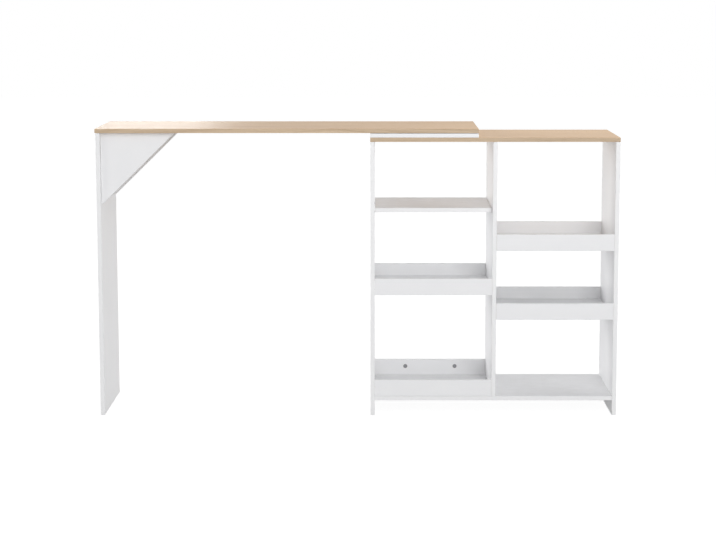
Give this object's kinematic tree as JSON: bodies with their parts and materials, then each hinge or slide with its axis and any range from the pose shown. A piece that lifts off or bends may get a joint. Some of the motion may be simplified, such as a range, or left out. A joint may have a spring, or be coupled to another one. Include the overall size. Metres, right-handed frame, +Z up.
{
  "type": "swivel bar table",
  "caption": "High bar table whose long top turns on a storage unit of open shelves and railed trays, held at its far end by a panel leg with triangular braces.",
  "frame": {"origin": "on the floor, under the middle of the whole length and depth", "axes": "+X along the length, from the table's leg to the storage unit; +Y to the back; +Z up"},
  "size_m": [1.89, 0.39, 1.052],
  "materials": {
    "white_melamine": "satin white melamine on chipboard",
    "oak": "matt light oak decor",
    "zinc_plated_steel": "zinc plated",
    "steel": "plain",
    "beech": "raw, fluted",
    "nylon": "natural nylon",
    "grey_plastic": "moulded, matt"
  },
  "bodies": {
    "storage_unit": {"base_board": "white_melamine", "bottom_left_back_rail": "white_melamine", "bottom_left_back_rail_left_cam": "zinc_plated_steel", "bottom_left_back_rail_left_cam_bolt": "steel", "bottom_left_back_rail_right_cam": "zinc_plated_steel", "bottom_left_back_rail_right_cam_bolt": "steel", "bottom_left_front_rail": "white_melamine", "bottom_left_front_rail_left_cam": "zinc_plated_steel", "bottom_left_front_rail_left_cam_bolt": "steel", "bottom_left_front_rail_right_cam": "zinc_plated_steel", "bottom_left_front_rail_right_cam_bolt": "steel", "divider": "white_melamine", "divider_front_screw": "zinc_plated_steel", "divider_front_shelf_pin": "zinc_plated_steel", "divider_rear_screw": "zinc_plated_steel", "divider_rear_shelf_pin": "zinc_plated_steel", "left_panel": "white_melamine", "left_panel_front_glide": "grey_plastic", "left_panel_front_shelf_pin": "zinc_plated_steel", "left_panel_rear_glide": "grey_plastic", "left_panel_rear_shelf_pin": "zinc_plated_steel", "lower_right_back_rail": "white_melamine", "lower_right_front_rail": "white_melamine", "lower_right_tray": "white_melamine", "middle_left_back_rail": "white_melamine", "middle_left_front_rail": "white_melamine", "middle_left_tray": "white_melamine", "pivot_bush": "nylon", "pivot_washer": "zinc_plated_steel", "right_panel": "white_melamine", "right_panel_front_glide": "grey_plastic", "right_panel_rear_glide": "grey_plastic", "slip_ring": "nylon", "spacer_front_left_screw": "zinc_plated_steel", "spacer_front_right_screw": "zinc_plated_steel", "spacer_rear_left_screw": "zinc_plated_steel", "spacer_rear_right_screw": "zinc_plated_steel", "swivel_spacer": "white_melamine", "unit_top": "oak", "upper_left_shelf": "white_melamine", "upper_right_back_rail": "white_melamine", "upper_right_front_rail": "white_melamine", "upper_right_tray": "white_melamine"},
    "table": {"front_gusset": "white_melamine", "front_gusset_cam": "zinc_plated_steel", "front_gusset_cam_bolt": "steel", "leg_dowel": "beech", "leg_front_cam": "zinc_plated_steel", "leg_front_cam_bolt": "steel", "leg_front_glide": "grey_plastic", "leg_rear_cam": "zinc_plated_steel", "leg_rear_cam_bolt": "steel", "leg_rear_glide": "grey_plastic", "pivot_bolt": "zinc_plated_steel", "pivot_insert": "zinc_plated_steel", "rear_gusset": "white_melamine", "rear_gusset_cam": "zinc_plated_steel", "rear_gusset_cam_bolt": "steel", "table_leg": "white_melamine", "table_top": "oak"}
  },
  "joints": [
    {"name": "table_swivel", "type": "hinge", "parent": "storage_unit", "child": "table", "pos_m": [0.24, 0, 1.037], "axis": [0, 0, 1], "continuous": true}
  ]
}
